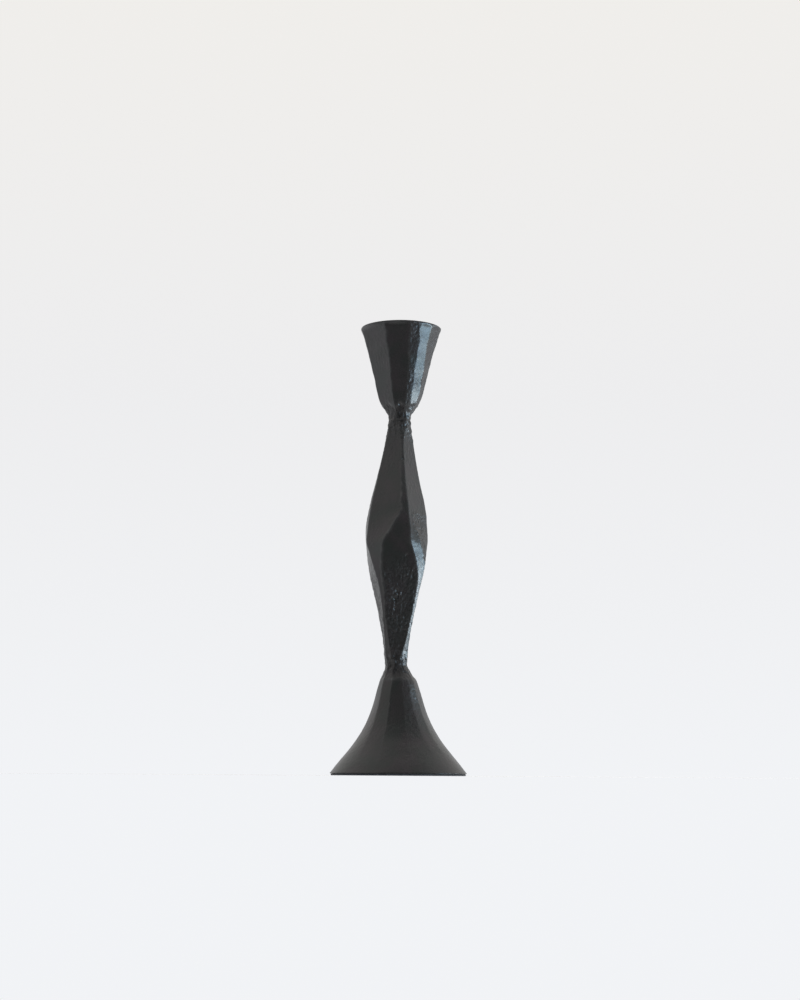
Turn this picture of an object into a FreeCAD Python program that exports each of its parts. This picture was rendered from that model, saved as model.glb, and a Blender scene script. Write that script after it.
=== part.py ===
import FreeCAD, Part
import math
import os

os.makedirs("parts", exist_ok=True)

# A taper candlestick: a faceted cup, a stem that turns from one square into another, and a flared
# foot. A stud holds the cup on the stem, a screw from below holds the stem on the foot, and a felt
# pad closes the underside. Lengths are in mm. Z runs up the candle's axis from the middle of the
# underside, the front looks along -Y, and a bearing is an angle in degrees from the front towards +X.

# Overall sizes
overall_height = 254.0
pad_thickness = 1.0
foot_height = 61.5
cup_height = 54.0
stem_length = overall_height - pad_thickness - foot_height - cup_height

# Widths of the outline
foot_width = 76.0
rim_width = 45.8
belly_width = 35.6
upper_neck_width = 12.1
lower_neck_width = 11.9

# How far each neck stands to the left of the candle's axis
upper_neck_lean = 0.5
lower_neck_lean = 1.7

# Candle socket
socket_diameter = 22.5
socket_straight_depth = 19.0
mouth_depth = 8.0
mouth_wall = 2.8

# Pocket under the foot, which takes the washers and the screw's head
pocket_diameter = 14.0
pocket_depth = 16.7

# Screw and stud, both 6 mm
thread_diameter = 6.0
thread_clearance = 0.05
thread_engagement = 12.0
hole_end_gap = 1.5
thread_chamfer = 0.6
foot_hole_clearance = 0.3
head_diameter = 10.0
head_height = 6.0
head_chamfer = 0.5
key_width = 5.0
key_depth = 3.0

# Washers under the screw's head
flat_washer_diameter = 12.0
flat_washer_thickness = 1.6
flat_washer_clearance = 0.2
spring_washer_diameter = 11.0
spring_washer_thickness = 1.6
spring_washer_clearance = 0.15
spring_washer_gap = 0.9
spring_washer_slant = 20.0

# Felt pad
pad_inset = 0.4

# Past this length a cut leaves the solid
overrun = 1.0

# Levels that follow from the sizes
lower_joint_z = pad_thickness + foot_height
upper_joint_z = lower_joint_z + stem_length
mouth_z = overall_height - mouth_depth
socket_floor_z = mouth_z - socket_straight_depth
pocket_roof_z = pad_thickness + pocket_depth

# Stem stations from the lower neck up: height share, width share of the first square and of the
# second, bearings of the two squares, and share of the way from the upper lean to the lower one
stem_shares = (
    (0.000, 0.00, 0.00, 2.0, 3.0, 1.00),
    (0.047, 0.10, 0.04, 2.0, 4.0, 1.00),
    (0.108, 0.25, 0.10, 3.0, 6.0, 1.00),
    (0.170, 0.42, 0.21, 5.0, 8.0, 1.00),
    (0.228, 0.56, 0.31, 7.0, 10.0, 1.00),
    (0.287, 0.72, 0.44, 7.0, 11.0, 1.00),
    (0.348, 0.89, 0.61, 3.0, 10.0, 1.00),
    (0.407, 0.98, 0.77, 0.0, 7.0, 1.00),
    (0.447, 1.00, 0.87, -2.0, 5.0, 0.96),
    (0.487, 1.00, 0.96, 0.0, 1.0, 0.94),
    (0.527, 0.90, 0.97, 5.0, 5.0, 0.90),
    (0.563, 0.79, 0.95, 9.0, 9.5, 0.87),
    (0.610, 0.63, 0.90, 15.0, 15.0, 0.81),
    (0.654, 0.54, 0.81, 15.0, 15.0, 0.74),
    (0.781, 0.24, 0.47, 14.0, 14.0, 0.50),
    (0.912, 0.02, 0.17, 13.0, 13.0, 0.12),
    (1.000, 0.00, 0.00, 13.0, 13.0, 0.00),
)

# Cup stations from the neck up: height share, share of the way from the neck's width to the rim's
cup_shares = (
    (0.000, 0.000),
    (0.046, 0.015),
    (0.124, 0.183),
    (0.189, 0.294),
    (0.252, 0.369),
    (0.446, 0.519),
    (0.772, 0.781),
    (1.000, 1.000),
)

# Bearings of the cup's corners: the hammered flats run between them
cup_bearings = (-76, -23, 15, 30, 51, 88, 122, 157, 193, 227, 258)

# Foot stations above its edge: height share, share of the way from the neck's width to the foot's
# own, share of the lower neck's lean, and share of the way from flat sides to a round
foot_shares = (
    (0.089, 0.868, 0.00, 1.00),
    (0.197, 0.698, 0.00, 0.97),
    (0.301, 0.548, 0.00, 0.85),
    (0.411, 0.423, 0.00, 0.70),
    (0.519, 0.328, 0.03, 0.55),
    (0.626, 0.257, 0.06, 0.42),
    (0.737, 0.198, 0.12, 0.30),
    (0.844, 0.136, 0.24, 0.20),
    (0.899, 0.066, 0.52, 0.10),
    (0.953, 0.017, 0.80, 0.00),
    (1.000, 0.000, 1.00, 0.00),
)

# Bearings of the foot's corners
foot_bearings = (-82, -48, -21, 12, 36, 57, 91, 125, 159, 193, 226, 252)


def blend(start, end, share):
    """The value at a share of the way from start to end."""
    return start + (end - start) * share


def polar_point(bearing, radius, centre_x, z):
    """A point at a bearing and a radius from an upright axis."""
    angle = math.radians(bearing)
    return FreeCAD.Vector(centre_x + radius * math.sin(angle), -radius * math.cos(angle), z)


def flats_corner(first, second, centre_x, z):
    """Where two upright flats meet, each a bearing and a distance from the axis."""
    first_angle = math.radians(first[0])
    second_angle = math.radians(second[0])
    spread = math.sin(first_angle - second_angle)
    to_right = (first[1] * math.cos(second_angle) - second[1] * math.cos(first_angle)) / spread
    to_front = (second[1] * math.sin(first_angle) - first[1] * math.sin(second_angle)) / spread
    return FreeCAD.Vector(centre_x + to_right, -to_front, z)


def two_squares(first_half, second_half, first_turn, second_turn, centre_x, z):
    """The corners of the eight-sided outline that two squares share, an eighth of a turn apart."""
    flats = []
    for quarter in range(4):
        flats.append((first_turn - 45 + 90 * quarter, first_half))
        flats.append((second_turn + 90 * quarter, second_half))
    return [flats_corner(flats[i - 1], flats[i], centre_x, z) for i in range(len(flats))]


def following_corners(bearings):
    """The bearing of the next corner after each one, all the way round."""
    return bearings[1:] + (bearings[0] + 360,)


def widest_half_gap(bearings):
    """Half the widest gap between neighbouring corners, in radians."""
    gaps = [after - before for before, after in zip(bearings, following_corners(bearings))]
    return math.radians(max(gaps) / 2)


def ring_of_corners(bearings, radius, centre_x, z):
    """The corners of a many-sided outline that lie on one circle."""
    return [polar_point(bearing, radius, centre_x, z) for bearing in bearings]


def ring_with_middles(bearings, radius, round_share, centre_x, z):
    """Corners on one circle, each with a middle point after it, between the flat and the circle."""
    points = []
    for before, after in zip(bearings, following_corners(bearings)):
        half_gap = math.radians((after - before) / 2)
        middle_radius = blend(radius * math.cos(half_gap), radius, round_share)
        points.append(polar_point(before, radius, centre_x, z))
        points.append(polar_point((before + after) / 2, middle_radius, centre_x, z))
    return points


def closed_face(points):
    """A flat face with the points as its corners."""
    return Part.Face(Part.makePolygon(points + points[:1]))


def flat_panel(corners):
    """One flat face over the four corners of a panel."""
    return [closed_face(corners)]


def bent_panel(corners):
    """Two flat faces over the four corners of a panel that isn't flat."""
    return [closed_face(corners[:3]), closed_face(corners[2:] + corners[:1])]


def faceted_solid(stations, panel):
    """A solid with a panel between each two corners of neighbouring stations."""
    faces = [closed_face(stations[0]), closed_face(stations[-1])]
    for lower, upper in zip(stations, stations[1:]):
        for i in range(len(lower)):
            faces.extend(panel([lower[i - 1], lower[i], upper[i], upper[i - 1]]))
    return Part.makeSolid(Part.makeShell(faces))


def ridged_solid(stations):
    """A solid with a smooth ridge up through each corner of its stations and flats between ridges."""
    heights = [station[0].z for station in stations]
    ridges = []
    for corner_points in zip(*stations):
        curve = Part.BSplineCurve()
        curve.interpolate(Points=list(corner_points), Parameters=heights)
        ridges.append(curve.toShape())
    faces = [Part.makeRuledSurface(ridges[i - 1], ridges[i]) for i in range(len(ridges))]
    faces.append(closed_face(stations[0]))
    faces.append(closed_face(stations[-1]))
    shell = Part.makeShell(faces)
    shell.sewShape()
    return Part.makeSolid(Part.makeShell(shell.Faces))


def upright_cylinder(diameter, bottom_z, top_z, centre_x=0.0):
    """A cylinder on an upright axis."""
    foot_point = FreeCAD.Vector(centre_x, 0, bottom_z)
    return Part.makeCylinder(diameter / 2, top_z - bottom_z, foot_point)


def turned(points, centre_x=0.0):
    """A solid of revolution whose outline is a list of (radius, z) points, closed on the axis."""
    outline = [FreeCAD.Vector(centre_x + radius, 0, z) for radius, z in points]
    face = closed_face(outline)
    return face.revolve(FreeCAD.Vector(centre_x, 0, 0), FreeCAD.Vector(0, 0, 1), 360)


def threaded_rod(bottom_z, top_z, centre_x):
    """A plain rod of the thread's size with a chamfer at both ends."""
    radius = thread_diameter / 2
    tip = radius - thread_chamfer
    return turned([(0, bottom_z), (tip, bottom_z), (radius, bottom_z + thread_chamfer),
                   (radius, top_z - thread_chamfer), (tip, top_z), (0, top_z)], centre_x)


def threaded_hole(bottom_z, top_z, centre_x):
    """What is cut away to take the thread."""
    return upright_cylinder(thread_diameter + thread_clearance * 2, bottom_z, top_z, centre_x)


def make_stem():
    """The twisted stem, ridged through its stations, with a threaded hole in each end."""
    stations = []
    for height_share, first_share, second_share, first_turn, second_turn, lean_share in stem_shares:
        neck_half = blend(lower_neck_width, upper_neck_width, height_share) / 2
        first_half = blend(neck_half, belly_width / 2, first_share)
        second_half = blend(neck_half, belly_width / 2, second_share)
        centre_x = -blend(upper_neck_lean, lower_neck_lean, lean_share)
        z = lower_joint_z + stem_length * height_share
        stations.append(two_squares(first_half, second_half, first_turn, second_turn, centre_x, z))
    body = ridged_solid(stations)
    hole_depth = thread_engagement + hole_end_gap
    lower_hole = threaded_hole(lower_joint_z - overrun, lower_joint_z + hole_depth, -lower_neck_lean)
    upper_hole = threaded_hole(upper_joint_z - hole_depth, upper_joint_z + overrun, -upper_neck_lean)
    return body.cut(lower_hole).cut(upper_hole)


def make_candle_cup():
    """The conical cup: hammered flats outside, a straight socket and a flared mouth inside."""
    stations = []
    for height_share, width_share in cup_shares:
        radius = blend(upper_neck_width, rim_width, width_share) / 2
        centre_x = -upper_neck_lean * (1 - height_share)
        z = upper_joint_z + cup_height * height_share
        stations.append(ring_of_corners(cup_bearings, radius, centre_x, z))
    body = faceted_solid(stations, flat_panel)
    socket_radius = socket_diameter / 2
    flat_radius = rim_width / 2 * math.cos(widest_half_gap(cup_bearings))
    mouth_radius = flat_radius - mouth_wall
    flare = (mouth_radius - socket_radius) / mouth_depth
    inside = turned([(0, socket_floor_z), (socket_radius, socket_floor_z), (socket_radius, mouth_z),
                     (mouth_radius + flare * overrun, overall_height + overrun),
                     (0, overall_height + overrun)])
    hole_top_z = upper_joint_z + thread_engagement + hole_end_gap
    stud_hole = threaded_hole(upper_joint_z - overrun, hole_top_z, -upper_neck_lean)
    return body.cut(inside).cut(stud_hole)


def make_cup_stud():
    """The headless stud between stem and cup."""
    return threaded_rod(upper_joint_z - thread_engagement, upper_joint_z + thread_engagement,
                        -upper_neck_lean)


def make_foot():
    """The flared foot: flats that run out at a round edge, the screw's hole and its pocket."""
    edge_radius = foot_width / 2 / math.cos(widest_half_gap(foot_bearings) / 2)
    stations = [ring_with_middles(foot_bearings, edge_radius, 1, 0, pad_thickness)]
    for height_share, width_share, lean_share, round_share in foot_shares:
        radius = blend(lower_neck_width, foot_width, width_share) / 2
        z = pad_thickness + foot_height * height_share
        centre_x = -lower_neck_lean * lean_share
        stations.append(ring_with_middles(foot_bearings, radius, round_share, centre_x, z))
    body = faceted_solid(stations, bent_panel)
    body = body.common(upright_cylinder(foot_width, pad_thickness, lower_joint_z))
    hole_diameter = thread_diameter + foot_hole_clearance * 2
    screw_hole = upright_cylinder(hole_diameter, pad_thickness, lower_joint_z + overrun,
                                  -lower_neck_lean)
    pocket = upright_cylinder(pocket_diameter, pad_thickness - overrun, pocket_roof_z,
                              -lower_neck_lean)
    return body.cut(pocket).cut(screw_hole)


def make_flat_washer():
    """The flat washer against the pocket's roof."""
    bottom_z = pocket_roof_z - flat_washer_thickness
    hole = thread_diameter + flat_washer_clearance * 2
    ring = upright_cylinder(flat_washer_diameter, bottom_z, pocket_roof_z, -lower_neck_lean)
    return ring.cut(upright_cylinder(hole, bottom_z - overrun, pocket_roof_z + overrun,
                                     -lower_neck_lean))


def make_spring_washer():
    """The split washer between the flat washer and the screw's head, pressed flat."""
    top_z = pocket_roof_z - flat_washer_thickness
    bottom_z = top_z - spring_washer_thickness
    hole = thread_diameter + spring_washer_clearance * 2
    ring = upright_cylinder(spring_washer_diameter, bottom_z, top_z, -lower_neck_lean)
    ring = ring.cut(upright_cylinder(hole, bottom_z - overrun, top_z + overrun, -lower_neck_lean))
    middle_z = (bottom_z + top_z) / 2
    split_height = spring_washer_thickness + overrun * 2
    split = Part.makeBox(spring_washer_diameter, spring_washer_gap, split_height,
                         FreeCAD.Vector(-lower_neck_lean, -spring_washer_gap / 2,
                                        middle_z - split_height / 2))
    split.rotate(FreeCAD.Vector(-lower_neck_lean, 0, middle_z), FreeCAD.Vector(1, 0, 0),
                 spring_washer_slant)
    return ring.cut(split)


def make_foot_screw():
    """The socket-head screw that draws the foot to the stem."""
    seat_z = pocket_roof_z - flat_washer_thickness - spring_washer_thickness
    low_z = seat_z - head_height
    radius = head_diameter / 2
    head = turned([(0, low_z), (radius - head_chamfer, low_z), (radius, low_z + head_chamfer),
                   (radius, seat_z), (0, seat_z)], -lower_neck_lean)
    corner_radius = key_width / math.sqrt(3)
    corners = ring_of_corners([60 * i for i in range(6)], corner_radius, -lower_neck_lean,
                              low_z - overrun)
    key = closed_face(corners).extrude(FreeCAD.Vector(0, 0, key_depth + overrun))
    shank = threaded_rod(seat_z - thread_chamfer, lower_joint_z + thread_engagement, -lower_neck_lean)
    return head.cut(key).fuse(shank).removeSplitter()


def make_felt_pad():
    """The felt disc glued under the foot."""
    return upright_cylinder(foot_width - pad_inset * 2, 0, pad_thickness)


pieces = {
    "candle_cup": make_candle_cup(),
    "cup_stud": make_cup_stud(),
    "stem": make_stem(),
    "foot": make_foot(),
    "foot_screw": make_foot_screw(),
    "flat_washer": make_flat_washer(),
    "spring_washer": make_spring_washer(),
    "felt_pad": make_felt_pad(),
}

for name, shape in pieces.items():
    shape.exportStep("parts/" + name + ".step")
    box = shape.BoundBox
    print(name, "solids", len(shape.Solids), "valid", shape.isValid(), "volume", round(shape.Volume),
          "box", [round(v, 2) for v in (box.XMin, box.YMin, box.ZMin, box.XMax, box.YMax, box.ZMax)])
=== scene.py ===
import math

import bpy
import numpy as np
from mathutils import Matrix, Vector, noise


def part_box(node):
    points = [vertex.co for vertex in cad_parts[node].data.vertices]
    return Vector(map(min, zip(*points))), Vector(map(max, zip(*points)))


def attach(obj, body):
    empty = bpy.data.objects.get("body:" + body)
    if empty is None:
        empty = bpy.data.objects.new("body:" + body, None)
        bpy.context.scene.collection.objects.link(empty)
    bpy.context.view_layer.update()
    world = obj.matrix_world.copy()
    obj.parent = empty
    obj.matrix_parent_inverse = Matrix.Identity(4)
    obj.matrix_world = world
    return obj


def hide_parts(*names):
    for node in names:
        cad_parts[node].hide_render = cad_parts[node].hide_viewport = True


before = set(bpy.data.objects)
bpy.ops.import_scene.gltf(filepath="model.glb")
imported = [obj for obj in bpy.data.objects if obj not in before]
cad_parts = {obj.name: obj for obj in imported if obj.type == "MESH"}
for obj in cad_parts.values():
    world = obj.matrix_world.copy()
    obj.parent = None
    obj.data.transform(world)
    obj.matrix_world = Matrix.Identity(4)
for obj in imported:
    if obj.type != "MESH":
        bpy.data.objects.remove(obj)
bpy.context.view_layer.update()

# A black cast taper candlestick: a hammered conical cup, a stem that turns from one square into
# another, and a flared round foot on a felt pad. Lengths are in metres. Z runs up the candle's
# axis, the front looks along -Y, and a bearing is an angle in degrees from the front towards +X.

# Levels and widths of the frame
pad_top_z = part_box("felt_pad")[1].z
pad_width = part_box("felt_pad")[1].x * 2
foot_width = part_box("foot")[1].y * 2
lower_joint_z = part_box("stem")[0].z
upper_joint_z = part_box("stem")[1].z
overall_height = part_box("candle_cup")[1].z
pocket_roof_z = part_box("flat_washer")[1].z
stud_low, stud_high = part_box("cup_stud")
screw_low, screw_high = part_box("foot_screw")

# Widths of the outline
rim_width = 0.0462
belly_width = 0.0356
upper_neck_width = 0.0121
lower_neck_width = 0.0119

# How far each neck stands to the left of the candle's axis
upper_neck_lean = 0.0005
lower_neck_lean = 0.0017

# Candle socket
socket_radius = 0.01125
socket_depth = 0.019
mouth_depth = 0.008
mouth_wall = 0.0028
rim_rounding = 0.0003
round_rim_width = 0.0460
round_rim_depth = 0.0022

# Rows over the rim: share of the way inwards, and height above the outer edge's row
rim_rows = (
    (0.05, 0.0002),
    (0.15, rim_rounding),
    (0.85, rim_rounding),
    (0.95, 0.0002),
)

# Foot's edge and pocket
edge_land = 0.0004
pocket_radius = 0.007
foot_hole_radius = 0.0033

# Threads
thread_radius = 0.003
thread_pitch = 0.001
thread_depth = 0.0006
thread_chamfer = 0.0006
thread_row_spacing = 0.000166
thread_flank_steepness = 1.5
thread_root_share = 0.25
screw_thread_length = 0.018
threaded_hole_radius = 0.00305
hole_end_gap = 0.0015
screw_head_height = 0.006
screw_head_radius = 0.005
screw_head_chamfer = 0.0005
knurl_depth = 0.0002
knurl_count = 36
key_half_width = 0.0025
key_corner_turn = 60
key_depth = 0.003

# Mesh: points around, and spacing along
columns = 288
row_spacing = 0.0005
inside_spacing = 0.0015
small_bevel = 0.0003
fan_radius = 0.0005
sharp_angle = 50.0
fastener_step = 4
point_values = 6

# Marks of the hammer and of the mould
cup_hammer_depth = 0.00026
cup_hammer_turn = 2.0
cup_hammer_length = 0.006
stem_hammer_depth = 0.00012
stem_hammer_turn = 0.6
stem_hammer_length = 0.012
foot_hammer_depth = 0.00015
foot_hammer_turn = 1.5
foot_hammer_length = 0.009
ripple_depth = 0.00008
ripple_size = 0.008
neck_lump_depth = 0.0007
neck_lump_size = 0.0030
neck_lump_reach = 0.012
grain_depth = 0.00034
grain_size = 0.0016
grain_patch_size = 0.010
grain_everywhere = 0.3
grain_falloff = 1.0
grain_finer_by = 2.0
grain_octaves = 3
patch_middle = 0.5
smoothest_patch_share = 0.5
inside_grain = 0.6
joint_fade = 0.004
neck_sides = 8
neck_turn = 13.0
neck_grain_reach = 0.03
# Share of a flat's roughness that shows as dark speckles in the colour
rough_speckle_share = 0.45
ledge_height = 0.0075
ledge_depth = 0.0006
ledge_rise = 0.001
ledge_wander = 0.003
ledge_waves = 2
ledge_seed = 7
wear_depth = 0.0002

# Where each piece starts in the noise that its hammer marks follow
stem_seed = 1.0
cup_seed = 2.0
foot_seed = 3.0
turn_seed_step = 0.5

# How often a surface, its wear or its roughness is averaged with its neighbours, to ease it
stem_easing = 1
cup_easing = 1
foot_easing = 3
neck_easing = 20
wear_easing = 12
rough_easing = 8

# Small dents in the casting: bearing, height, width and depth
cup_dents = ((0.0, 0.2085, 0.0008, 0.0009),)
stem_dents = (
    (14.5, 0.1766, 0.0007, 0.0006),
    (21.0, 0.1215, 0.0008, 0.0006),
    (2.0, 0.1020, 0.0009, 0.0009),
    (-3.0, 0.0972, 0.0010, 0.0012),
    (7.0, 0.0985, 0.0008, 0.0009),
    (-1.0, 0.0925, 0.0007, 0.0006),
    (1.5, 0.0790, 0.0006, 0.0004),
)
stem_rough_top_share = 0.46
stem_rough_fade_share = 0.12

# Stem stations from the lower neck up: height share, width share of the first square and of the
# second, bearings of the two squares, and share of the way from the upper lean to the lower one
stem_shares = (
    (0.000, 0.00, 0.00, 2.0, 3.0, 1.00),
    (0.047, 0.10, 0.04, 2.0, 4.0, 1.00),
    (0.108, 0.25, 0.10, 3.0, 6.0, 1.00),
    (0.170, 0.42, 0.21, 5.0, 8.0, 1.00),
    (0.228, 0.56, 0.31, 7.0, 10.0, 1.00),
    (0.287, 0.72, 0.44, 7.0, 11.0, 1.00),
    (0.348, 0.89, 0.61, 3.0, 10.0, 1.00),
    (0.407, 0.98, 0.77, 0.0, 7.0, 1.00),
    (0.447, 1.00, 0.87, -2.0, 5.0, 0.96),
    (0.487, 1.00, 0.96, 0.0, 1.0, 0.94),
    (0.527, 0.90, 0.97, 5.0, 5.0, 0.90),
    (0.563, 0.79, 0.95, 9.0, 9.5, 0.87),
    (0.610, 0.63, 0.90, 15.0, 15.0, 0.81),
    (0.654, 0.54, 0.81, 15.0, 15.0, 0.74),
    (0.781, 0.24, 0.47, 14.0, 14.0, 0.50),
    (0.912, 0.02, 0.17, 13.0, 13.0, 0.12),
    (1.000, 0.00, 0.00, 13.0, 13.0, 0.00),
)

# How rough the stem is: the first square's four flats, the second square's four and the right front
# flat, and the part under the upper neck
stem_roughness = (0, 0, 0.9, 0.6, 0, 0, 0, 0, 1)
top_roughness = 0.7
second_square_flats = (4, 5, 6, 7)

# The stem's right front flat keeps its own course over the belly: height share, width share, bearing
right_flat_shares = (
    (0.389, 1.03, 70.0),
    (0.422, 1.00, 70.0),
    (0.456, 0.97, 69.0),
    (0.485, 0.92, 68.0),
    (0.514, 0.84, 67.0),
    (0.547, 0.73, 65.0),
    (0.571, 0.68, 63.0),
    (0.610, 0.63, 60.0),
    (0.670, 0.80, 60.0),
)

# Cup stations from the neck up: height share, share of the way from the neck's width to the rim's
cup_shares = (
    (0.000, 0.000),
    (0.046, 0.015),
    (0.124, 0.183),
    (0.189, 0.294),
    (0.252, 0.369),
    (0.446, 0.519),
    (0.772, 0.781),
    (1.000, 1.000),
)

# Bearings of the cup's corners at the neck and at the rim, and how rough each flat is
cup_neck_bearings = (-84, -18, 19, 36, 62, 92, 124, 160, 196, 226, 254)
cup_rim_bearings = (-82, -26, 13, 30, 50, 88, 122, 157, 193, 227, 258)
cup_roughness = (0, 0, 0, 0.55, 0.1, 0.5, 0.3, 0, 0.5, 0.3, 0.2)

# Foot stations above its edge: height share, share of the way from the neck's width to the foot's
# own, and share of the lower neck's lean
foot_shares = (
    (0.000, 1.000, 0.00),
    (0.089, 0.868, 0.00),
    (0.197, 0.698, 0.00),
    (0.301, 0.548, 0.00),
    (0.411, 0.423, 0.00),
    (0.519, 0.328, 0.03),
    (0.626, 0.257, 0.06),
    (0.737, 0.198, 0.12),
    (0.844, 0.136, 0.24),
    (0.899, 0.066, 0.52),
    (0.953, 0.017, 0.80),
    (1.000, 0.000, 1.00),
)

# Number of the shoulder's station, bearings of the foot's corners, and its rough and flat parts
foot_shoulder = 8
foot_edge_bearings = (-84, -46, -20, 14, 42, 58, 92, 126, 160, 194, 226, 253)
foot_neck_bearings = (-90, -52, -22, 10, 27, 50, 88, 122, 158, 192, 226, 250)
foot_rough_flats = (4, 5, 8, 11)
foot_rough_share = 0.40
foot_rough_fade_share = 0.2
foot_rough_depth_share = 0.2
foot_round_share = 0.6
foot_flatness_share = 0.75

# Colours, as (place on a ramp, colour) stops
iron_tones = (
    (0.35, (0.0100, 0.0125, 0.0120)),
    (0.5, (0.0125, 0.0125, 0.0130)),
    (0.65, (0.0160, 0.0135, 0.0155)),
)
worn_tones = (
    (0.4, (0.018, 0.019, 0.020)),
    (0.7, (0.036, 0.037, 0.038)),
)
# Painted shade at the necks, and dark speckles in rough patches
shade_and_speckle_tones = (
    (0.42, (0.0130, 0.0130, 0.0140)),
    (0.60, (0.0015, 0.0015, 0.0015)),
)
felt_tones = (
    (0.3, (0.020, 0.024, 0.032)),
    (0.7, (0.055, 0.064, 0.084)),
)
steel_tones = (
    (0.3, (0.42, 0.43, 0.45)),
    (0.7, (0.56, 0.57, 0.58)),
)
sky_tones = (
    (0.15, (0.90, 0.92, 0.95)),
    (0.45, (0.85, 0.85, 0.86)),
    (0.65, (0.87, 0.855, 0.83)),
)
sky_shift = 0.25

# Size and detail of the marks in each noise
iron_tone_marks = (0.010, 3.0)
worn_marks = (0.004, 3.0)
shade_and_speckle_marks = (0.0018, 3.0)
iron_gloss_marks = (0.003, 4.0)
iron_fine_marks = (0.0005, 2.0)
iron_pit_marks = (0.0011, 3.0)
felt_tone_marks = (0.0012, 4.0)
felt_gloss_marks = (0.002, 2.0)
felt_fibre_marks = (0.0004, 4.0)
steel_tone_marks = (0.003, 3.0)
steel_gloss_marks = (0.001, 3.0)
steel_fine_marks = (0.0006, 2.0)

# Depths of bumps, ranges of roughness, and what is the same all over a material
iron_fine_depth = 0.000012
iron_pit_depth = 0.0003
iron_roughness = (0.28, 0.40)
grain_roughness = (0.0, 0.04)
iron_specular = 0.4
felt_fibre_depth = 0.0002
felt_roughness = (0.88, 1.0)
felt_sheen = 0.15
steel_fine_depth = 0.00001
steel_roughness = (0.28, 0.45)

# Camera
camera_place = (0.0, -1.044, 0.0004)
camera_pitch = 8.41
camera_roll = 0.36
focal_length = 0.06696
sensor_size = 0.036
mm_per_metre = 1000

# Stage and lights
floor_clear_radius = 0.1
floor_radius = 0.4
floor_hole_radius = 0.036
floor_sides = 96
floor_colour = (0.84, 0.84, 0.85, 1)
card_left = -0.085
card_right = 0.125
card_distance = 0.12
card_height = 0.29
card_tone = 0.21
card_top_tone = 0.85
card_fade_start = 0.235
side_card_left = 0.125
side_card_right = 0.40
side_card_low = 0.15
side_card_high = 0.60
window_distance = 0.6

# Panes of the window: middle along Y, middle height, width, height, power and colour
window_panes = (
    (-0.13, 0.10, 0.16, 0.20, 2.0, (0.50, 0.76, 1.0)),
    (0.00, 0.07, 0.10, 0.16, 0.45, (0.75, 1.0, 0.95)),
    (0.14, 0.03, 0.18, 0.14, 2.1, (0.76, 0.89, 1.0)),
)
key_place = (0.45, -0.35, 0.6)
key_width = 0.4
key_power = 2.0
key_colour = (1, 1, 1)

bearings = np.arange(columns) * 360 / columns
scene = bpy.context.scene


def blend(start, end, share):
    """The value at a share of the way from start to end."""
    return start + (end - start) * share


def smooth_step(value):
    """An even rise from 0 to 1."""
    value = np.clip(value, 0, 1)
    return value * value * (3 - 2 * value)


def smooth_curve(table, column, places):
    """The column's values on a smooth curve through the table's stations."""
    table = np.array(table)
    knots = table[:, 0]
    values = table[:, column]
    slopes = np.gradient(values, knots)
    i = np.clip(np.searchsorted(knots, places) - 1, 0, len(knots) - 2)
    step = knots[i + 1] - knots[i]
    t = (places - knots[i]) / step
    rise = t * t * (3 - 2 * t)
    start = t * (1 - t) ** 2 * step * slopes[i]
    end = t * t * (1 - t) * step * slopes[i + 1]
    return blend(values[i], values[i + 1], rise) + start - end


def levels(low, high):
    """Heights from low to high, a row apart."""
    return np.linspace(low, high, round((high - low) / row_spacing) + 1)


def wander(seed, flat, heights, length):
    """A smooth wander between about -1 and 1 along one flat, apart from those of other flats."""
    places = [Vector((seed, flat * math.pi, height / length)) for height in heights]
    return np.array([noise.noise(place) for place in places])


def hammered(flats, heights, marks, seed):
    """Flats that wander in bearing and depth along their length, as on hand-dressed metal."""
    flat_bearings, depths = (values.copy() for values in flats)
    depth, turn, length = marks
    for flat in range(depths.shape[1]):
        depths[:, flat] += depth * wander(seed, flat, heights, length)
        flat_bearings[:, flat] += turn * wander(seed + turn_seed_step, flat, heights, length)
    return flat_bearings, depths


def many_sided(flats):
    """Radii of an outline with flats, each a bearing and a depth, and the flat met at each point."""
    flat_bearings, depths = flats
    turn = np.radians(bearings[None, :, None] - flat_bearings[:, None, :])
    reach = np.cos(turn) / depths[:, None, :]
    return 1 / reach.max(axis=2), reach.argmax(axis=2)


def flats_between(start_bearings, end_bearings, share, radii):
    """Bearings and depths of the flats between corners that lie on a circle of each radius."""
    corners = blend(np.array(start_bearings)[None, :], np.array(end_bearings)[None, :], share[:, None])
    before = np.roll(corners, 1, axis=1)
    before[:, 0] -= 360
    half_gaps = np.radians((corners - before) / 2)
    return (corners + before) / 2, radii[:, None] * np.cos(half_gaps)


def eased(field, passes):
    """A field over rows and bearings, with each point averaged with its neighbours."""
    for _ in range(passes):
        field = (np.roll(field, 1, axis=1) + 2 * field + np.roll(field, -1, axis=1)) / 4
        field[1:-1] = (field[:-2] + 2 * field[1:-1] + field[2:]) / 4
    return field


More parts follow.
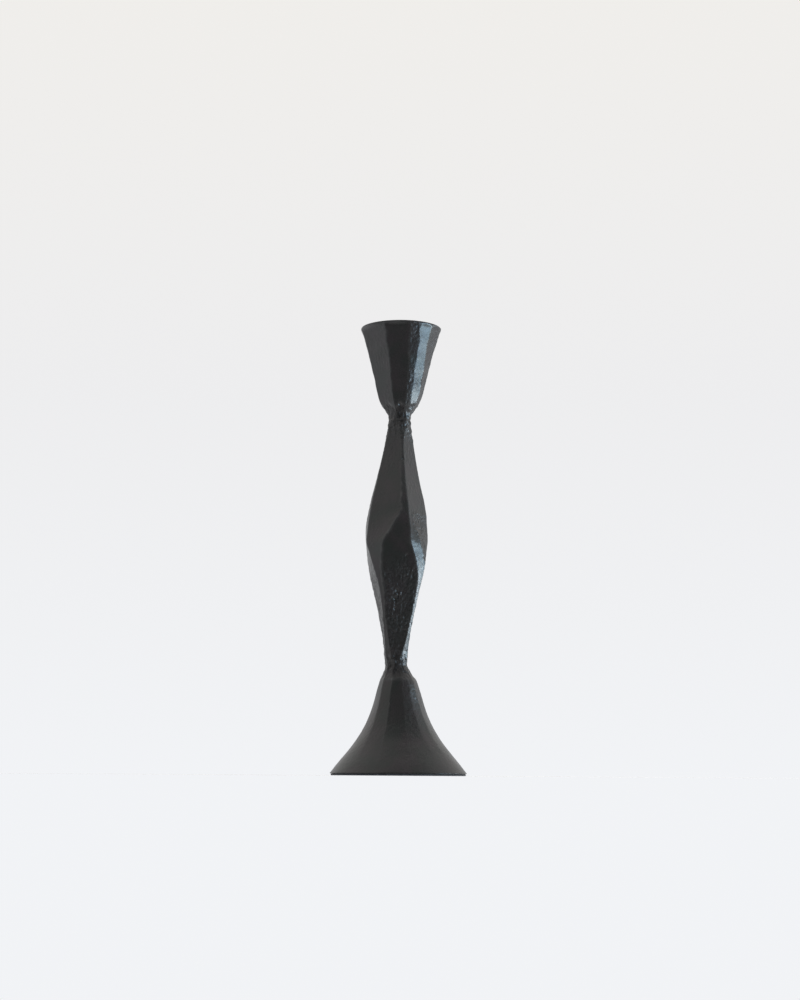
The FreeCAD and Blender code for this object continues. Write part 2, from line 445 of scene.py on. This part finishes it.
def cast_skin(radii, rough, centre_x, heights, near_neck, easing, dents=(), fade=None):
    """Points of a cast surface: rows of x, y, z, grain, wear, and painted shade at the necks with dark
    speckles where rough.
    """
    sharp = radii
    radii = eased(radii, easing)
    radii = blend(radii, eased(radii, neck_easing), near_neck[:, None])
    wear = np.clip((sharp - eased(sharp, wear_easing)) / wear_depth, 0, 1)
    angles = np.radians(bearings)
    x = centre_x[:, None] + radii * np.sin(angles)
    y = -radii * np.cos(angles)
    z = np.repeat(heights[:, None], columns, axis=1)
    places = np.stack([x, y, z], axis=2).reshape(-1, 3)
    ripple = np.array([noise.noise(Vector(place / ripple_size)) for place in places])
    lumps = np.array([noise.noise(Vector(place / neck_lump_size)) for place in places])
    pits = np.array([noise.fractal(Vector(place / grain_size), grain_falloff, grain_finer_by, grain_octaves)
                     for place in places])
    ripple = ripple.reshape(radii.shape) * ripple_depth
    patches = np.array([noise.noise(Vector(place / grain_patch_size)) for place in places])
    patches = np.clip(patches + patch_middle, 0, 1).reshape(radii.shape)
    roughness = eased(rough, rough_easing)
    grain = roughness * blend(smoothest_patch_share, 1.0, patches) + grain_everywhere * patches
    grain = np.clip(grain, 0, 1)
    lumps = lumps.reshape(radii.shape) * neck_lump_depth * near_neck[:, None]
    relief = ripple + lumps + pits.reshape(radii.shape) * grain_depth * grain
    if fade is not None:
        relief = relief * fade[:, None]
    radii = radii + relief
    for bearing, height, width, depth in dents:
        turn = np.radians(bearings - bearing)
        across = radii * 2 * np.sin(turn / 2)
        away = across ** 2 + (heights - height)[:, None] ** 2
        radii = radii - depth * np.exp(-away / width ** 2)
    x = centre_x[:, None] + radii * np.sin(angles)
    y = -radii * np.cos(angles)
    # Painted shade: full across the necks where cup, stem and foot meet; elsewhere dark speckles that
    # follow the roughness
    shade_and_speckle = np.maximum(roughness * rough_speckle_share, near_neck[:, None])
    return np.stack([x, y, z, grain, wear, shade_and_speckle], axis=2)


def neck_outline(width):
    """Radii of the neck's many-sided outline, which both pieces at a joint share."""
    flat_bearings = np.arange(neck_sides)[None, :] * 360 / neck_sides + neck_turn
    return many_sided((flat_bearings, np.full((1, neck_sides), width / 2)))[0]


def plain_skin(radii, heights, centre_x, rough=0.0):
    """Rows of a plain surface with these radii and heights."""
    angles = np.radians(bearings)
    skin = np.zeros((len(heights), columns, point_values))
    skin[:, :, 0] = centre_x + radii * np.sin(angles)
    skin[:, :, 1] = -radii * np.cos(angles)
    skin[:, :, 2] = heights[:, None]
    skin[:, :, 3] = rough
    return skin


def turned_skin(outline, centre_x, rough=0.0):
    """Rows of a turned surface through (radius, z) points, with small bevels at its corners."""
    outline = [np.array(point) for point in outline]
    points = [outline[0]]
    for before, corner, after in zip(outline, outline[1:], outline[2:]):
        for neighbour in (before, after):
            away = (neighbour - corner) / np.linalg.norm(neighbour - corner)
            points.append(corner + away * small_bevel)
    points.append(outline[-1])
    rows = []
    for start, end in zip(points, points[1:]):
        parts = max(1, math.ceil(np.linalg.norm(end - start) / inside_spacing))
        rows.extend(blend(start, end, part / parts) for part in range(parts))
    rows.append(points[-1])
    rows = np.array(rows)
    return plain_skin(rows[:, :1], rows[:, 1], centre_x, rough)


def between_rows(first, last, outline_shares):
    """Rows between two rings: for each (share, rise) the share of the way over, and a rise in z."""
    rows = []
    for share, rise in outline_shares:
        row = blend(first, last, share)
        row[:, 2] += rise
        rows.append(row)
    return np.array(rows)


def skinned(name, skin, looped=False):
    """An object over rows of points, closed by fans at both ends or joined end to start."""
    rows, around = skin.shape[:2]
    flat = skin.reshape(-1, point_values)
    faces = []
    pairs = [(row, row + 1) for row in range(rows - 1)]
    if looped:
        pairs.append((rows - 1, 0))
    for lower, upper in pairs:
        for j in range(around):
            k = (j + 1) % around
            faces.append((lower * around + j, lower * around + k,
                          upper * around + k, upper * around + j))
    if not looped:
        first, last = len(flat), len(flat) + 1
        flat = np.vstack([flat, skin[0].mean(axis=0), skin[-1].mean(axis=0)])
        start = (rows - 1) * around
        faces.extend((first, (j + 1) % around, j) for j in range(around))
        faces.extend((last, start + j, start + (j + 1) % around) for j in range(around))
    mesh = bpy.data.meshes.new(name)
    mesh.from_pydata(flat[:, :3].tolist(), [], faces)
    # The last value holds painted shade at the necks together with dark speckles
    for column, label in ((3, "grain"), (4, "wear"), (5, "shade_and_speckle")):
        attribute = mesh.attributes.new(label, "FLOAT", "POINT")
        attribute.data.foreach_set("value", flat[:, column].astype(np.float32))
    mesh.shade_smooth()
    mesh.set_sharp_from_angle(angle=math.radians(sharp_angle))
    piece = bpy.data.objects.new(name, mesh)
    scene.collection.objects.link(piece)
    return piece


def near_ends(heights, low, high, fade_length):
    """1 between the ends, falling to 0 at the ends that count."""
    room = np.full_like(heights, 1.0)
    if low:
        room = np.minimum(room, smooth_step((heights - heights[0]) / fade_length))
    if high:
        room = np.minimum(room, smooth_step((heights[-1] - heights) / fade_length))
    return room


def make_stem():
    """The stem: two squares an eighth of a turn apart, one under and one over the belly."""
    heights = levels(lower_joint_z, upper_joint_z)
    share = (heights - lower_joint_z) / (upper_joint_z - lower_joint_z)
    first_share, second_share, first_turn, second_turn, lean_share = (
        smooth_curve(stem_shares, column, share) for column in range(1, 6))
    neck_half = blend(lower_neck_width, upper_neck_width, share) / 2
    first_half = blend(neck_half, belly_width / 2, first_share)
    second_half = blend(neck_half, belly_width / 2, second_share)
    quarters = np.arange(4) * 90
    flat_shares, right_shares, right_bearings = np.array(right_flat_shares).T
    right_bearing = np.interp(share, flat_shares, right_bearings)
    right_half = blend(neck_half, belly_width / 2, np.interp(share, flat_shares, right_shares))
    flat_bearings = np.hstack([first_turn[:, None] - 45 + quarters, second_turn[:, None] + quarters,
                               right_bearing[:, None]])
    depths = np.hstack([np.tile(first_half[:, None], 4), np.tile(second_half[:, None], 4),
                        right_half[:, None]])
    marks = (stem_hammer_depth, stem_hammer_turn, stem_hammer_length)
    radii, met = many_sided(hammered((flat_bearings, depths), heights, marks, stem_seed))
    body = near_ends(heights, True, True, joint_fade)
    near_neck = 1 - near_ends(heights, True, True, neck_lump_reach)
    neck = neck_outline(1.0) * neck_half[:, None] * 2
    radii = blend(neck, radii, body[:, None])
    low_part = smooth_step((stem_rough_top_share - share) / stem_rough_fade_share)
    in_second_square = np.isin(met, second_square_flats)
    rough = np.where(in_second_square, low_part[:, None], np.array(stem_roughness)[met])
    top_part = 1 - near_ends(heights, False, True, neck_grain_reach)
    rough = np.maximum(rough, np.maximum(near_neck, top_roughness * top_part)[:, None])
    centre_x = -blend(upper_neck_lean, lower_neck_lean, lean_share)
    skin = cast_skin(radii, rough, centre_x, heights, near_neck, stem_easing, stem_dents)
    hole_depth = stud_high.z - upper_joint_z + hole_end_gap
    lower_hole = turned_skin([(fan_radius, lower_joint_z + hole_depth),
                              (threaded_hole_radius, lower_joint_z + hole_depth),
                              (threaded_hole_radius, lower_joint_z),
                              (lower_neck_width / 2 - small_bevel, lower_joint_z)], -lower_neck_lean)
    upper_hole = turned_skin([(upper_neck_width / 2 - small_bevel, upper_joint_z),
                              (threaded_hole_radius, upper_joint_z),
                              (threaded_hole_radius, upper_joint_z - hole_depth),
                              (fan_radius, upper_joint_z - hole_depth)], -upper_neck_lean)
    return skinned("iron_stem", np.concatenate([lower_hole, skin, upper_hole]))


def ledge_line():
    """The wandering height, all round, at which the cup's flats end above the neck."""
    places = [Vector((ledge_waves * math.sin(angle), ledge_waves * math.cos(angle), ledge_seed))
              for angle in np.radians(bearings)]
    around = np.array([noise.noise(place) for place in places])
    return upper_joint_z + ledge_height + ledge_wander * around[None, :]


def make_cup():
    """The cup: hammered flats outside, a straight socket and a flared mouth inside."""
    heights = levels(upper_joint_z, overall_height - rim_rounding)
    share = (heights - upper_joint_z) / (overall_height - upper_joint_z)
    circle = blend(upper_neck_width, rim_width, smooth_curve(cup_shares, 1, share)) / 2
    flats = flats_between(cup_neck_bearings, cup_rim_bearings, share, circle)
    marks = (cup_hammer_depth, cup_hammer_turn, cup_hammer_length)
    radii, met = many_sided(hammered(flats, heights, marks, cup_seed))
    round_rim = 1 - smooth_step((heights[-1] - heights) / round_rim_depth)
    radii = blend(radii, round_rim_width / 2, round_rim[:, None])
    body = near_ends(heights, True, False, joint_fade)
    radii = blend(neck_outline(upper_neck_width), radii, body[:, None])
    near_neck = 1 - near_ends(heights, True, False, neck_lump_reach)
    under_ledge = 1 - smooth_step((heights[:, None] - ledge_line()) / ledge_rise)
    radii = radii - ledge_depth * under_ledge * body[:, None]
    rough = np.maximum(np.array(cup_roughness)[met], under_ledge)
    centre_x = -upper_neck_lean * (1 - share)
    skin = cast_skin(radii, rough, centre_x, heights, near_neck, cup_easing, cup_dents)
    mouth_radius = round_rim_width / 2 - mouth_wall
    mouth_z = overall_height - mouth_depth
    floor_z = mouth_z - socket_depth
    inside = turned_skin([(mouth_radius, overall_height - rim_rounding), (socket_radius, mouth_z),
                          (socket_radius, floor_z), (fan_radius, floor_z)], 0.0, inside_grain)
    rim = between_rows(skin[-1], inside[0], rim_rows)
    hole_top_z = stud_high.z + hole_end_gap
    hole = turned_skin([(fan_radius, hole_top_z), (threaded_hole_radius, hole_top_z),
                        (threaded_hole_radius, upper_joint_z),
                        (upper_neck_width / 2 - small_bevel, upper_joint_z)], -upper_neck_lean)
    return skinned("iron_cup", np.concatenate([hole, skin, rim, inside]))


def make_foot():
    """The foot: flats that run out at a round edge, the screw's hole and its pocket."""
    low_z = pad_top_z + edge_land
    heights = levels(low_z, lower_joint_z)
    share = (heights - low_z) / (lower_joint_z - low_z)
    flaring = smooth_curve(foot_shares[:foot_shoulder + 1], 1, share)
    narrowing = smooth_curve(foot_shares[foot_shoulder:], 1, share)
    width_share = np.where(share < foot_shares[foot_shoulder][0], flaring, narrowing)
    circle = blend(lower_neck_width, foot_width, width_share) / 2
    flats = flats_between(foot_edge_bearings, foot_neck_bearings, share, circle)
    marks = (foot_hammer_depth, foot_hammer_turn, foot_hammer_length)
    radii, met = many_sided(hammered(flats, heights, marks, foot_seed))
    flare = smooth_step(share / foot_round_share) * foot_flatness_share
    radii = blend(circle[:, None], radii, flare[:, None])
    body = near_ends(heights, False, True, joint_fade)
    radii = blend(neck_outline(lower_neck_width), radii, body[:, None])
    centre_x = -lower_neck_lean * smooth_curve(foot_shares, 2, share)
    near_neck = 1 - near_ends(heights, False, True, neck_lump_reach)
    upper_part = smooth_step((share - foot_rough_share) / foot_rough_fade_share)
    rough_flats = np.isin(met, foot_rough_flats) * upper_part[:, None]
    rough = np.maximum(rough_flats * foot_rough_depth_share, near_neck[:, None])
    rising = near_ends(heights, True, False, joint_fade)
    skin = cast_skin(radii, rough, centre_x, heights, near_neck, foot_easing, fade=rising)
    edge_radius = circle[0]
    edge = turned_skin([(edge_radius - edge_land, pad_top_z), (edge_radius, pad_top_z),
                        (edge_radius, low_z)], 0.0)[:-1]
    under = turned_skin([(foot_hole_radius, lower_joint_z), (foot_hole_radius, pocket_roof_z),
                         (pocket_radius, pocket_roof_z), (pocket_radius, pad_top_z),
                         (pocket_radius + inside_spacing, pad_top_z)],
                        -lower_neck_lean, inside_grain)
    top = turned_skin([(lower_neck_width / 2 - small_bevel, lower_joint_z),
                       (foot_hole_radius + small_bevel, lower_joint_z)], -lower_neck_lean)
    return skinned("iron_foot", np.concatenate([under, edge, skin, top]), looped=True)


def make_pad():
    """The felt pad, with a soft edge."""
    radius = pad_width / 2
    inner = radius - small_bevel
    skin = turned_skin([(fan_radius, 0.0), (inner, 0.0), (radius, small_bevel),
                        (radius, pad_top_z - small_bevel), (inner, pad_top_z),
                        (fan_radius, pad_top_z)], 0.0)
    return skinned("felt_disc", skin)


def thread_skin(low_z, high_z, centre_x, both_ends):
    """Rows of a screw thread, with a chamfer at its top and perhaps at its foot."""
    heights = np.linspace(low_z, high_z, round((high_z - low_z) / thread_row_spacing) + 1)
    turns = heights[:, None] / thread_pitch - bearings[None, :] / 360
    ridge = 1 - np.abs(turns % 1 * 2 - 1)
    flank = np.clip(ridge * thread_flank_steepness - thread_root_share, 0, 1)
    radii = thread_radius - thread_depth * (1 - flank)
    room = heights[-1] - heights
    if both_ends:
        room = np.minimum(room, heights - heights[0])
    radii = np.minimum(radii, thread_radius - thread_chamfer + room[:, None])
    return plain_skin(radii, heights, centre_x)


def make_stud():
    """The stud between cup and stem, threaded from end to end."""
    skin = thread_skin(stud_low.z, stud_high.z, -upper_neck_lean, True)
    return skinned("threaded_stud", skin[:, ::fastener_step])


def make_screw():
    """The cap screw: a hexagon socket, a knurled head, a plain shank and the thread."""
    low_z = screw_low.z
    seat_z = low_z + screw_head_height
    thread_z = screw_high.z - screw_thread_length
    from_flat = bearings % key_corner_turn - key_corner_turn / 2
    hexagon = key_half_width / np.cos(np.radians(from_flat))
    knurled = screw_head_radius - knurl_depth * (1 + np.cos(np.radians(bearings * knurl_count))) / 2
    bevelled = np.full(columns, screw_head_radius - screw_head_chamfer)
    shank = np.full(columns, thread_radius)
    outline = (
        (hexagon, low_z + key_depth),
        (hexagon, low_z),
        (bevelled, low_z),
        (knurled, low_z + screw_head_chamfer),
        (knurled, seat_z),
        (shank, seat_z),
        (shank, thread_z),
    )
    radii, heights = (np.array(values) for values in zip(*outline))
    head = plain_skin(radii, heights, -lower_neck_lean)
    thread = thread_skin(thread_z + thread_row_spacing, screw_high.z, -lower_neck_lean, False)
    return skinned("cap_screw", np.concatenate([head, thread])[:, ::fastener_step])


def attribute(tree, label):
    """A value that is stored at the mesh's points."""
    node = tree.nodes.new("ShaderNodeAttribute")
    node.attribute_name = label
    return node.outputs["Fac"]


def noise_over(tree, marks):
    """Noise over the object, with marks of a size and a detail."""
    size, detail = marks
    place = tree.nodes.new("ShaderNodeTexCoord")
    texture = tree.nodes.new("ShaderNodeTexNoise")
    texture.inputs["Scale"].default_value = 1 / size
    texture.inputs["Detail"].default_value = detail
    tree.links.new(place.outputs["Object"], texture.inputs["Vector"])
    return texture.outputs["Fac"]


def ramp(tree, factor, stops):
    """A colour ramp over the factor, with (position, colour) stops."""
    node = tree.nodes.new("ShaderNodeValToRGB")
    elements = node.color_ramp.elements
    for element, (position, colour) in zip(elements, (stops[0], stops[-1])):
        element.position = position
        element.color = (*colour, 1)
    for position, colour in stops[1:-1]:
        elements.new(position).color = (*colour, 1)
    tree.links.new(factor, node.inputs["Fac"])
    return node.outputs["Color"]


def ranged(tree, factor, low, high):
    """The factor's 0 to 1 spread over low to high."""
    node = tree.nodes.new("ShaderNodeMapRange")
    node.inputs["To Min"].default_value = low
    node.inputs["To Max"].default_value = high
    tree.links.new(factor, node.inputs["Value"])
    return node.outputs["Result"]


def combined(tree, operation, first, second):
    """Two values joined by a math operation."""
    node = tree.nodes.new("ShaderNodeMath")
    node.operation = operation
    tree.links.new(first, node.inputs[0])
    tree.links.new(second, node.inputs[1])
    return node.outputs["Value"]


def mixed(tree, factor, first, second):
    """Two colours mixed by a factor."""
    node = tree.nodes.new("ShaderNodeMixRGB")
    tree.links.new(factor, node.inputs["Fac"])
    tree.links.new(first, node.inputs["Color1"])
    tree.links.new(second, node.inputs["Color2"])
    return node.outputs["Color"]


def bumped(tree, height, depth, below=None):
    """A bump from the height value, over the bump below it."""
    node = tree.nodes.new("ShaderNodeBump")
    node.inputs["Distance"].default_value = depth
    tree.links.new(height, node.inputs["Height"])
    if below:
        tree.links.new(below, node.inputs["Normal"])
    return node.outputs["Normal"]


def new_material(name):
    """A new material with its node tree and shader."""
    material = bpy.data.materials.new(name)
    material.use_nodes = True
    return material, material.node_tree, material.node_tree.nodes["Principled BSDF"]


def black_iron():
    """Cast iron with a thin black satin finish, rough where the mould shows and worn on ridges; its colour
    carries painted shade at the necks and dark speckles in rough patches.
    """
    material, tree, shader = new_material("black_iron")
    tone = ramp(tree, noise_over(tree, iron_tone_marks), iron_tones)
    worn = ramp(tree, noise_over(tree, worn_marks), worn_tones)
    wear = attribute(tree, "wear")
    grain = attribute(tree, "grain")
    # Painted shade at the necks and dark speckles in rough patches, mixed over the iron's colour
    shade_and_speckle_colour = ramp(tree, noise_over(tree, shade_and_speckle_marks), shade_and_speckle_tones)
    colour = mixed(tree, wear, mixed(tree, attribute(tree, "shade_and_speckle"), tone, shade_and_speckle_colour), worn)
    tree.links.new(colour, shader.inputs["Base Color"])
    smooth = ranged(tree, noise_over(tree, iron_gloss_marks), *iron_roughness)
    rougher = combined(tree, "ADD", smooth, ranged(tree, grain, *grain_roughness))
    tree.links.new(rougher, shader.inputs["Roughness"])
    shader.inputs["Specular IOR Level"].default_value = iron_specular
    fine = bumped(tree, noise_over(tree, iron_fine_marks), iron_fine_depth)
    pitted = combined(tree, "MULTIPLY", noise_over(tree, iron_pit_marks), grain)
    tree.links.new(bumped(tree, pitted, iron_pit_depth, fine), shader.inputs["Normal"])
    return material


def felt():
    """Dark blue-grey wool felt."""
    material, tree, shader = new_material("felt")
    tone = ramp(tree, noise_over(tree, felt_tone_marks), felt_tones)
    tree.links.new(tone, shader.inputs["Base Color"])
    rough = ranged(tree, noise_over(tree, felt_gloss_marks), *felt_roughness)
    tree.links.new(rough, shader.inputs["Roughness"])
    shader.inputs["Sheen Weight"].default_value = felt_sheen
    fibres = bumped(tree, noise_over(tree, felt_fibre_marks), felt_fibre_depth)
    tree.links.new(fibres, shader.inputs["Normal"])
    return material


def steel():
    """Zinc-plated steel."""
    material, tree, shader = new_material("steel")
    tone = ramp(tree, noise_over(tree, steel_tone_marks), steel_tones)
    tree.links.new(tone, shader.inputs["Base Color"])
    shader.inputs["Metallic"].default_value = 1.0
    rough = ranged(tree, noise_over(tree, steel_gloss_marks), *steel_roughness)
    tree.links.new(rough, shader.inputs["Roughness"])
    scratches = bumped(tree, noise_over(tree, steel_fine_marks), steel_fine_depth)
    tree.links.new(scratches, shader.inputs["Normal"])
    return material


def finish_piece(piece, material, slot, *nodes):
    """Gives a piece its material and its body, and hides the nodes that it stands for."""
    piece.data.materials.append(material)
    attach(piece, "root")
    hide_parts(*nodes)


def stage_object(name, points, faces, material):
    """A mesh that belongs to the stage."""
    mesh = bpy.data.meshes.new(name)
    mesh.from_pydata(points, [], faces)
    mesh.materials.append(material)
    thing = bpy.data.objects.new(name, mesh)
    scene.collection.objects.link(thing)
    return thing


def floor_material():
    """A pale matt floor that clears towards its edge, so that the background goes on."""
    material = bpy.data.materials.new("floor")
    material.use_nodes = True
    tree = material.node_tree
    tree.nodes.clear()
    place = tree.nodes.new("ShaderNodeTexCoord")
    length = tree.nodes.new("ShaderNodeVectorMath")
    length.operation = "LENGTH"
    tree.links.new(place.outputs["Object"], length.inputs[0])
    fade = tree.nodes.new("ShaderNodeMapRange")
    fade.interpolation_type = "SMOOTHSTEP"
    fade.inputs["From Min"].default_value = floor_clear_radius
    fade.inputs["From Max"].default_value = floor_radius
    tree.links.new(length.outputs["Value"], fade.inputs["Value"])
    geometry = tree.nodes.new("ShaderNodeNewGeometry")
    hidden = combined(tree, "MAXIMUM", fade.outputs["Result"], geometry.outputs["Backfacing"])
    matt = tree.nodes.new("ShaderNodeBsdfDiffuse")
    matt.inputs["Color"].default_value = floor_colour
    clear = tree.nodes.new("ShaderNodeBsdfTransparent")
    mix = tree.nodes.new("ShaderNodeMixShader")
    tree.links.new(hidden, mix.inputs["Fac"])
    tree.links.new(matt.outputs["BSDF"], mix.inputs[1])
    tree.links.new(clear.outputs["BSDF"], mix.inputs[2])
    output = tree.nodes.new("ShaderNodeOutputMaterial")
    tree.links.new(mix.outputs["Shader"], output.inputs["Surface"])
    return material


def card_material(name, top_tone):
    """A dark glow that turns into the top tone towards the front card's top."""
    material = bpy.data.materials.new(name)
    material.use_nodes = True
    tree = material.node_tree
    tree.nodes.clear()
    place = tree.nodes.new("ShaderNodeTexCoord")
    parts = tree.nodes.new("ShaderNodeSeparateXYZ")
    tree.links.new(place.outputs["Object"], parts.inputs["Vector"])
    tone = ranged(tree, parts.outputs["Z"], card_tone, top_tone)
    tone.node.inputs["From Min"].default_value = card_fade_start
    tone.node.inputs["From Max"].default_value = card_height
    glow = tree.nodes.new("ShaderNodeEmission")
    tree.links.new(tone, glow.inputs["Color"])
    output = tree.nodes.new("ShaderNodeOutputMaterial")
    tree.links.new(glow.outputs["Emission"], output.inputs["Surface"])
    return material


def make_floor():
    """A round floor, with a hole under the pad so that light comes to the felt from below."""
    angles = [2 * math.pi * i / floor_sides for i in range(floor_sides)]
    points = [(radius * math.cos(a), radius * math.sin(a), 0.0)
              for radius in (floor_hole_radius, floor_radius) for a in angles]
    faces = []
    for i in range(floor_sides):
        after = (i + 1) % floor_sides
        faces.append((i, floor_sides + i, floor_sides + after, after))
    stage_object("floor", points, faces, floor_material())


def make_card(name, left, right, low, high, top_tone):
    """A dark card in front of the object, seen in its reflections alone."""
    points = [(left, -card_distance, low), (right, -card_distance, low),
              (right, -card_distance, high), (left, -card_distance, high)]
    card = stage_object(name, points, [(0, 1, 2, 3)], card_material(name, top_tone))
    card.visible_camera = False
    card.visible_diffuse = False
    card.visible_shadow = False


def area_lamp(name, place, width, height, power, colour):
    """A soft lamp that faces the middle of the object."""
    light = bpy.data.lights.new(name, "AREA")
    light.shape = "RECTANGLE"
    light.size = width
    light.size_y = height
    light.energy = power
    light.color = colour
    lamp = bpy.data.objects.new(name, light)
    lamp.location = place
    away = Vector(place) - Vector((0, 0, overall_height / 2))
    lamp.rotation_euler = away.to_track_quat("Z", "Y").to_euler()
    lamp.visible_camera = False
    scene.collection.objects.link(lamp)
    return lamp


def make_lights():
    """A cool window to the right, seen in reflections, and a soft lamp for the rest."""
    for number, (along, high, width, height, power, colour) in enumerate(window_panes, 1):
        place = (window_distance, along, high)
        pane = area_lamp("pane_" + str(number), place, width, height, power, colour)
        pane.visible_diffuse = False
    key = area_lamp("key", key_place, key_width, key_width, key_power, key_colour)
    key.visible_glossy = False


def make_world():
    """A pale background, a little warmer above and cooler below."""
    world = bpy.data.worlds.new("world")
    scene.world = world
    world.use_nodes = True
    tree = world.node_tree
    background = tree.nodes["Background"]
    place = tree.nodes.new("ShaderNodeTexCoord")
    parts = tree.nodes.new("ShaderNodeSeparateXYZ")
    tree.links.new(place.outputs["Generated"], parts.inputs["Vector"])
    height = ranged(tree, parts.outputs["Z"], sky_shift, 1 + sky_shift)
    tone = ramp(tree, height, sky_tones)
    tree.links.new(tone, background.inputs["Color"])


def make_camera():
    """The photograph's camera."""
    data = bpy.data.cameras.new("camera")
    data.sensor_width = sensor_size * mm_per_metre
    data.lens = focal_length * mm_per_metre
    camera = bpy.data.objects.new("camera", data)
    level = Matrix.Rotation(math.radians(90 + camera_pitch), 4, "X")
    turn = Matrix.Rotation(math.radians(camera_roll), 4, "Z")
    camera.matrix_world = Matrix.Translation(camera_place) @ level @ turn
    scene.collection.objects.link(camera)
    scene.camera = camera


scene.view_settings.view_transform = "Standard"
make_camera()
make_world()
make_floor()
make_card("card", card_left, card_right, 0.0, card_height, card_top_tone)
make_card("side_card", side_card_left, side_card_right, side_card_low, side_card_high, card_tone)
make_lights()

iron = black_iron()
zinc = steel()
finish_piece(make_cup(), iron, "black_iron", "candle_cup")
finish_piece(make_stem(), iron, "black_iron", "stem")
finish_piece(make_foot(), iron, "black_iron", "foot")
pad = make_pad()
finish_piece(pad, felt(), "felt", "felt_pad")
finish_piece(make_stud(), zinc, "fastener_steel", "cup_stud")
finish_piece(make_screw(), zinc, "fastener_steel", "foot_screw")
for name in ("flat_washer", "spring_washer"):
    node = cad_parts[name]
    node.data.materials.clear()
    node.data.materials.append(zinc)
